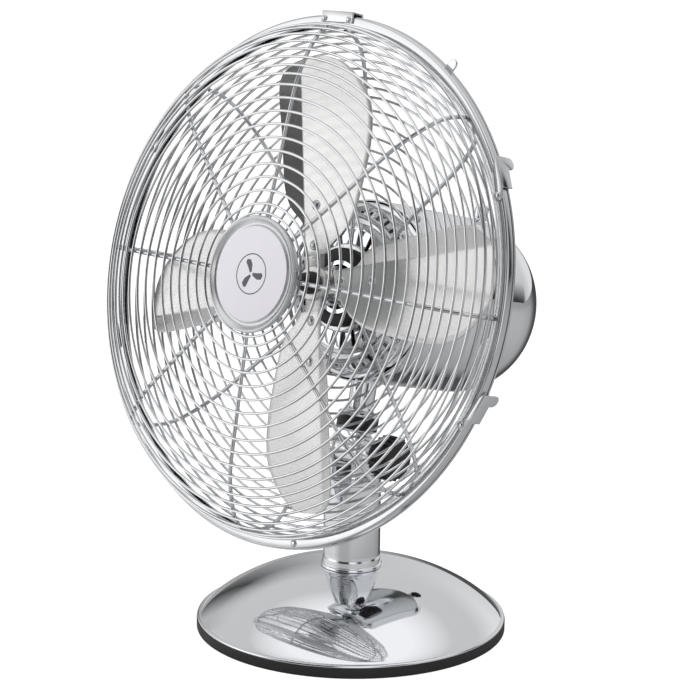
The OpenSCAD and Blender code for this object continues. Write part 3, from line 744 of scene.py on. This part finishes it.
def bentPoint(side, length, inside=0.0):   # a point along the bent edge: a wide arc and then a tight one
    wide, tight = side["curve"]
    start, change, end = (math.radians(a) for a in (side["slope"], *guard["bends"]))
    centre = Vector((-wide * math.sin(start), -wide * math.cos(start)))
    angle = start + length / wide
    radius = wide
    if angle >= change:
        angle = min(end + math.radians(4), change + (length - wide * (change - start)) / tight)
        centre += (wide - tight) * Vector((math.sin(change), math.cos(change)))
        radius = tight
    return centre + (radius - inside) * Vector((math.sin(angle), math.cos(angle)))


def onGuard(side, points):   # from the bend's own corner to radius and place on the axis
    return [(guard["cornerRadius"] + x, side["face"] + side["sign"] * y) for x, y in points]


def ringPoints(side):
    first = guard["faceStart"] + side["outward"]
    radii = side["inner"] + [first + guard["facePitch"] * i for i in range(side["first"], guard["faceEnd"])]
    fall = math.tan(math.radians(side["slope"]))
    face = [(r - guard["cornerRadius"], fall * (guard["cornerRadius"] - r)) for r in radii]
    bent = [bentPoint(side, side["bendStart"] + guard["bendPitch"] * i) for i in range(side["bendRings"])]
    return onGuard(side, face + [tuple(p) for p in bent])


def spokePath(side):
    slope, (change, end), (wide, tight) = math.radians(side["slope"]), guard["bends"], side["curve"]
    total = wide * (math.radians(change) - slope) + tight * math.radians(end - change)
    bent = [bentPoint(side, total * k / 26, weldDepth) for k in range(27)]
    along = Vector((math.cos(slope), -math.sin(slope)))
    down = Vector((math.cos(math.radians(end)), -math.sin(math.radians(end))))
    path = [bent[0] - along * side["reach"], bent[0] - along * side["reach"] / 2, *bent,
            bent[-1] + down * side["tail"]]
    return onGuard(side, path)


def pointPath(name, points, linked):   # points (radius, place on the axis) for a geometry node tree
    mesh = bpy.data.meshes.new(name)
    edges = [(i, i + 1) for i in range(len(points) - 1)] if linked else []
    mesh.from_pydata([(r * mm, 0, s * mm) for r, s in points], edges, [])
    return objectFrom(name, mesh)


def wireValues(width, extra):
    return {"Wire Radius": width / 2 * mm, "Material": wireChrome, **extra}


def makeGuards():
    for side in guardSides:
        name = side["name"]
        rings = runTree(pointPath(name + "Rings", ringPoints(side), False), wireRings,
                        wireValues(guard["wire"], {"Segments": guard["segments"], "Sides": 10}))
        if name == "rear":
            drop = (guard["cornerRadius"] - guard["centreRing"]) * math.tan(math.radians(side["slope"])) + 0.2
            centre = runTree(pointPath("rearCentreRing", [(guard["centreRing"], side["face"] - drop)], False),
                             wireRings, wireValues(guard["spoke"], {"Segments": 96, "Sides": 12}))
            rings = joined("rearRings", [rings, centre])
        settle(rings, fanFrame, wireChrome, "head", "wire_chrome", name + "_rings")
        wires = runTree(pointPath(name + "Spokes", spokePath(side), True), wiresAround,
                        wireValues(guard["spoke"], {"Count": guard["spokes"]}))
        settle(wires, fanFrame, wireChrome, "head", "wire_chrome", name + "_spokes")
    plate = turned("rearCentre", [(18.4, 34.6), (29.4, 34.6), (30, 35.4), (30, 38), (29.2, 38.8),
                                  (18.4, 38.8)], 0.3)
    settle(plate, fanFrame, wireChrome, "head", "wire_chrome", "rear_centre")


def makeRims():
    r, s = guard["rimRadius"], guard["frontEdge"]
    front = turned("frontRim", [(r - 8, s - 1.4), (r - 8, s - 0.2), (r - 7.4, s), (r - 1, s), (r, s - 0.8),
                                (r, s - 5.4), (r - 1.1, s - 5.4), (r - 1.2, s - 1.4)], 0.45, 192)
    settle(front, fanFrame, rimChrome, "head", "rim_chrome", "front_rim")
    high, low = guard["rearEdge"], guard["rearEdge"] - 1.4
    rear = turned("rearRim", [(r - 8.2, low), (r - 8.2, high), (r + 0.5, high), (r + 0.5, low)], 0.45, 192)
    outline = [(r - 4, -3.4), *arc(r + 3.9, 0, 3.4, -90, 90, 12), (r - 4, 3.4)]
    tab = flatPiece("rimTab", outline, low, high, 0.3, 2, turnZ(57.5))
    settle(joined("rearRim", [rear, tab]), fanFrame, rimChrome, "head", "rim_chrome", "rear_rim")


# badge, clips and small fixings
clip = {"angles": [25.3, -22.9, 155.3, 203], "sheet": 1.15, "rivetIn": 2.8, "lip": 85.4, "web": 1.05,
        "hook": 76.15}
badge = {"radius": 30.9, "low": 125.25, "face": 126.1, "inkLow": 126.08, "inkHigh": 126.16,
         "ring": (12.6, 13.3)}
hook = {"angle": 90.6, "half": 14, "rivetSide": 10.8, "rivetIn": 2.8}
screw = {"angle": -77, "inward": 3.8}


def makeBadge():
    dish = turned("badgeDish", [(0, 119), (34, 119), (37, 121.5), (38, 125), (37.6, 126.5), (36.6, 127),
                                (35.6, 126.2), (34.2, 124.7), (32.6, 124.2), (31.4, 124.5), (31.2, 125.2),
                                (0, 125.2)], 0.6, 128)
    settle(dish, fanFrame, dishChrome, "head", "chrome", "badge_dish")
    r, low, high = badge["radius"], badge["low"], badge["face"]
    disc = turned("badgeDisc", [(0, low), (r, low), (r, high), (0, high)], 0.3)
    disc.data.materials.append(badgeWhite)

    def mark(work):   # a plain three-bladed propeller inside a thin ring
        low, high, (near, far) = badge["inkLow"], badge["inkHigh"], badge["ring"]
        outline = [(1.2, -0.9), (5.5, -2.9), (9.2, -2.6), (10.4, 0.2), (9.0, 1.7), (4.5, 1.0), (1.2, 0.9)]
        for k in range(3):
            plateMesh(work, outline, low, high, turnZ(120 * k))
        spinOutline(work, [(near, low), (far, low), (far, high), (near, high)], 72)
    ink = objectFrom("badgeMark", meshFrom("badgeMark", mark))
    ink.data.materials.append(badgeInk)
    settle(joined("badgeDisc", [disc, ink]), fanFrame, None, "head", "badge_white", "badge_disc")


def domedHead(radius, height):
    return [(0, height), (radius * 0.55, height * 0.86), (radius * 0.9, height * 0.42), (radius, 0), (0, 0)]


def makeFixings():
    r, parts = guard["rimRadius"], []
    hookRivets = [(r - hook["rivetIn"], side * hook["rivetSide"], 86.25, 2.2, 1.4) for side in (-1, 1)]
    spots = [(hook["angle"], hookRivets), (screw["angle"], [(r - screw["inward"], 0, 85.05, 2.6, 1.1)])]
    spots += [(angle, [(r - clip["rivetIn"], 0, 86.7, 2.6, 1.35)]) for angle in clip["angles"]]
    for angle, heads in spots:
        def build(work, angle=angle, heads=heads):
            for x, y, low, radius, height in heads:
                turnedCopies(work, ((domedHead(radius, height), 0.3),), turnZ(angle) @ shift(x, y, low), 28)
        parts.append(objectFrom("fixing", meshFrom("fixing", build)))
    shanks = [(angle, r - clip["rivetIn"], 1.5, 83.6, 86.8) for angle in clip["angles"]]
    for angle, x, radius, low, high in shanks + [(screw["angle"], r - screw["inward"], 1.35, 75.1, 85.2)]:
        shank = turned("shank", [(0, low), (radius, low), (radius, high), (0, high)], 0.2, 24)
        shank.data.transform(turnZ(angle) @ shift(x))
        parts.append(shank)
    settle(joined("guardFixings", parts), fanFrame, rimChrome, "head", "steel", "guard_fixings")


def makeHook():
    r, half = guard["rimRadius"], hook["half"]
    outline = [(r - 5, 76.25), (r + 2.35, 76.25), (r + 2.35, 86.25), (r - 5.1, 86.25), (r - 5.1, 85.1),
               (r + 1.2, 85.1), (r + 1.2, 77.4), (r - 5, 77.4)]
    piece = flatPiece("topHook", outline, -half, half, 0.5, 3, Matrix.Rotation(math.radians(90), 4, "X"))
    shade(piece.data, 40)
    settle(piece, fanFrame @ turnZ(hook["angle"]), rimChrome, "head", "chrome", "top_hook")


def makeClips():
    r, flat = guard["rimRadius"], Matrix.Identity(4)
    lip = arc(r - clip["rivetIn"], 0, 3.35, 190, 344, 11)
    lip += [(r + 1.0, 1.6), (r + 2.1, 4.2), (r + 2.1, 24.4), (r + 0.8, 24.4), (r - 1.6, 20), (r - 3.6, 15),
            (r - 4.7, 10), (r - 5.2, 6)]
    web = [(4.1, 86.5), (4.1, 76.2), (16.6, 76.2), (16.6, 74.2)]
    web += [*arc(20.5, 74.1, 3.9, 180, 360, 10), (24.4, 86.5)]
    plate = [(r - 3.4, 5.1), (r + 1.5, 5.1), (r + 1.5, 19.9), (r - 3.4, 19.9)]
    for number, angle in enumerate(clip["angles"]):
        up = 1 if math.cos(math.radians(angle)) > 0 else -1   # the thumb tabs all point up
        parts = []
        for shape, low, matrix, mirrorX, mirrorY in ((lip, clip["lip"], flat, 1, up),
                                                     (plate, clip["hook"], flat, 1, up),
                                                     (web, r + clip["web"], standing, up, 1)):
            outline = [(x * mirrorX, y * mirrorY) for x, y in shape]
            part = flatPiece("clipSheet", outline, low, low + clip["sheet"], 0.3, 2, matrix)
            shade(part.data, 40)
            parts.append(part)
        piece, node = joined("guardClip%d" % (number + 1), parts), "clip_%d" % (number + 1)
        settle(piece, fanFrame @ turnZ(angle), rimChrome, node, "chrome", node)


makeGuards()
makeRims()
makeBadge()
makeFixings()
makeHook()
makeClips()
print("guards made")

# CAD nodes that stay, with new materials in their slots
keptNodes = [
    (castIron, ["base_weight"]),
    (darkPaint, ["base_plate", "gearbox_case"]),
    (blackRubber, ["base_pad"]),
    (blackPlastic, ["cord_gland", "speed_switch"]),
    (plainSteel, ["base_screws", "tie_rod", "tie_nuts", "tilt_bolt", "neck_pin", "neck_clip", "front_bracket",
                  "rear_bracket", "bracket_bolts", "housing_screws", "motor_shaft", "worm", "crank_link"]),
    (motorSheet, ["stator_core", "rotor_core"]),
    (copperWire, ["windings"]),
    (bronze, ["bearings"]),
    (nylon, ["worm_wheel"]),
]
for material, names in keptNodes:
    for name in names:
        for materialSlot in frame["nodes"][name].material_slots:
            materialSlot.material = material
print("kept nodes finished")

# floor, light and camera
studio = {"floorSize": 12000, "floorGlow": 0.84, "floorShade": "#a0a0a0", "zenith": 1.0,
          "azimuth": 43.07, "elevation": 12.64, "distance": 1.5, "roll": 0.72, "aim": (-2.07, -1.94, 195.19),
          "lens": 113.86}
# greys by compass turn: (degrees from -Y towards +X, grey), above, at eye level and on the floor
overhead = [(-180, 0.62), (-30, 0.62), (-8, 0.08), (34, 0.08), (50, 0.62), (175, 0.62)]
around = [(-170, 0.8), (-140, 0.6), (-118, 0.06), (-104, 0.5), (-85, 0.6), (-66, 1.0), (-54, 1.45),
          (-38, 1.5), (-25, 1.35), (-12, 0.3), (-4, 0.03), (30, 0.03), (38, 1.1), (56, 1.1), (64, 0.6),
          (71, 0.03), (80, 0.03), (90, 0.7), (125, 0.6), (136, 0.03), (146, 0.03), (154, 0.6), (175, 0.8)]
# painted light and shade on the floor as the chrome sees it: lighter towards the key light at the front left,
# dark behind the fan
floorPaintedShade = [(-176, 0.08), (-152, 0.08), (-140, 0.4), (-110, 0.4), (-70, 0.75), (-30, 0.8), (0, 0.45),
               (28, 0.45), (45, 0.55), (92, 0.55), (140, 0.5), (165, 0.4)]
lamps = [{"name": "keyLight", "azimuth": -35, "elevation": 42, "distance": 2.2, "size": 1.2, "power": 12},
         {"name": "rimLight", "azimuth": 150, "elevation": 45, "distance": 2.2, "size": 1.0, "power": 6},
         {"name": "topLight", "azimuth": -30, "elevation": 80, "distance": 2.0, "size": 1.2, "power": 6}]


def towards(azimuth, elevation):   # the direction given by a compass turn and a height, both in degrees
    a, e = math.radians(azimuth), math.radians(elevation)
    return Vector((math.sin(a) * math.cos(e), -math.cos(a) * math.cos(e), math.sin(e)))


def rampOf(tree, place, stops):   # a soft ramp of greys by compass turn
    parts = addNode(tree, "ShaderNodeSeparateXYZ", links={0: place})
    turn = addNode(tree, "ShaderNodeMath", {"operation": "ARCTAN2"},
                   {0: parts.outputs["Y"], 1: parts.outputs["X"]})
    share = addNode(tree, "ShaderNodeMapRange", {"From Min": -math.pi, "From Max": math.pi},
                    {"Value": turn.outputs[0]})
    ramp = addNode(tree, "ShaderNodeValToRGB", links={"Fac": share.outputs["Result"]})
    places = sorted(((azimuth + 90) % 360 / 360, grey) for azimuth, grey in stops)
    while len(ramp.color_ramp.elements) < len(places):
        ramp.color_ramp.elements.new(0.5)
    for element, (position, grey) in zip(ramp.color_ramp.elements, places):
        element.position = position
        element.color = (grey, grey, grey, 1)
    return ramp.outputs["Color"]


def makeFloor():
    def build(work):
        spinOutline(work, [(0, -0.05), (studio["floorSize"], -0.05)], 64, closed=False)
    floor = objectFrom("studioFloor", meshFrom("studioFloor", build))
    if floor.data.polygons[0].normal.z < 0:
        floor.data.flip_normals()
    material, tree = newMaterial("paleStudioPaper")
    seen = addNode(tree, "ShaderNodeLightPath")
    bright = addNode(tree, "ShaderNodeBsdfPrincipled",
                     {"Base Color": srgb(studio["floorShade"]), "Roughness": 0.95,
                      "Emission Color": (1, 1, 1, 1), "Emission Strength": studio["floorGlow"]})
    # reflections see the floor in these greys by compass turn: painted light and shade on top of the lamps'
    # real light
    place = addNode(tree, "ShaderNodeTexCoord")
    sides = rampOf(tree, place.outputs["Object"], floorPaintedShade)
    dull = addNode(tree, "ShaderNodeBsdfDiffuse", links={"Color": sides})
    shader = addNode(tree, "ShaderNodeMixShader", links={0: seen.outputs["Is Camera Ray"], 1: dull.outputs[0],
                                                         2: bright.outputs[0]})
    finishMaterial(tree, shader)
    floor.data.materials.append(material)


def makeWorld():   # white behind the fan; reflections see a grey room with soft bright and dark stretches
    world = bpy.data.worlds.new("studio")
    scene.world = world
    world.use_nodes = True
    tree = world.node_tree
    tree.nodes.clear()
    place = addNode(tree, "ShaderNodeTexCoord").outputs["Generated"]
    parts = addNode(tree, "ShaderNodeSeparateXYZ", links={0: place})
    sides, over = rampOf(tree, place, around), rampOf(tree, place, overhead)
    height = addNode(tree, "ShaderNodeMapRange", {"From Min": 0.26, "From Max": 0.5},
                     {"Value": parts.outputs["Z"]})
    lower = addNode(tree, "ShaderNodeMix", {"data_type": "RGBA"},
                    {0: height.outputs["Result"], 6: sides, 7: over})
    above = addNode(tree, "ShaderNodeMapRange", {"From Min": 0.7, "From Max": 0.9},
                    {"Value": parts.outputs["Z"]})
    shade = addNode(tree, "ShaderNodeMix", {"data_type": "RGBA", 7: (*[studio["zenith"]] * 3, 1)},
                    {0: above.outputs["Result"], 6: lower.outputs[2]})
    seen = addNode(tree, "ShaderNodeLightPath")
    mixed = addNode(tree, "ShaderNodeMix", {"data_type": "RGBA", 7: (1, 1, 1, 1)},
                    {0: seen.outputs["Is Camera Ray"], 6: shade.outputs[2]})
    light = addNode(tree, "ShaderNodeBackground", {"Strength": 1.0}, {"Color": mixed.outputs[2]})
    addNode(tree, "ShaderNodeOutputWorld", links={"Surface": light.outputs[0]})


def softLight(values):
    back = towards(values["azimuth"], values["elevation"])
    lamp = bpy.data.lights.new(values["name"], "AREA")
    lamp.shape = "RECTANGLE"
    lamp.size = lamp.size_y = values["size"]
    lamp.energy = values["power"]
    piece = bpy.data.objects.new(values["name"], lamp)
    scene.collection.objects.link(piece)
    piece.location = Vector((0, 0, 0.2)) + back * values["distance"]
    piece.visible_glossy = False   # the chrome sees the soft surroundings only
    piece.rotation_euler = (-back).to_track_quat("-Z", "Y").to_euler()


def makeCamera():
    a, roll = math.radians(studio["azimuth"]), math.radians(studio["roll"])
    back = towards(studio["azimuth"], studio["elevation"])
    level = Vector((math.cos(a), math.sin(a), 0))
    upright = back.cross(level)
    right = level * math.cos(roll) + upright * math.sin(roll)
    up = upright * math.cos(roll) - level * math.sin(roll)
    camera = bpy.data.cameras.new("camera")
    camera.lens = studio["lens"]
    camera.sensor_width = 36
    camera.clip_start, camera.clip_end = 0.05, 50
    piece = bpy.data.objects.new("camera", camera)
    scene.collection.objects.link(piece)
    piece.matrix_world = frameAt(Vector(studio["aim"]) * mm + back * studio["distance"], right, up, back)
    scene.camera = piece


makeFloor()
makeWorld()
for values in lamps:
    softLight(values)
makeCamera()
scene.view_settings.view_transform = "Standard"
print("studio made")
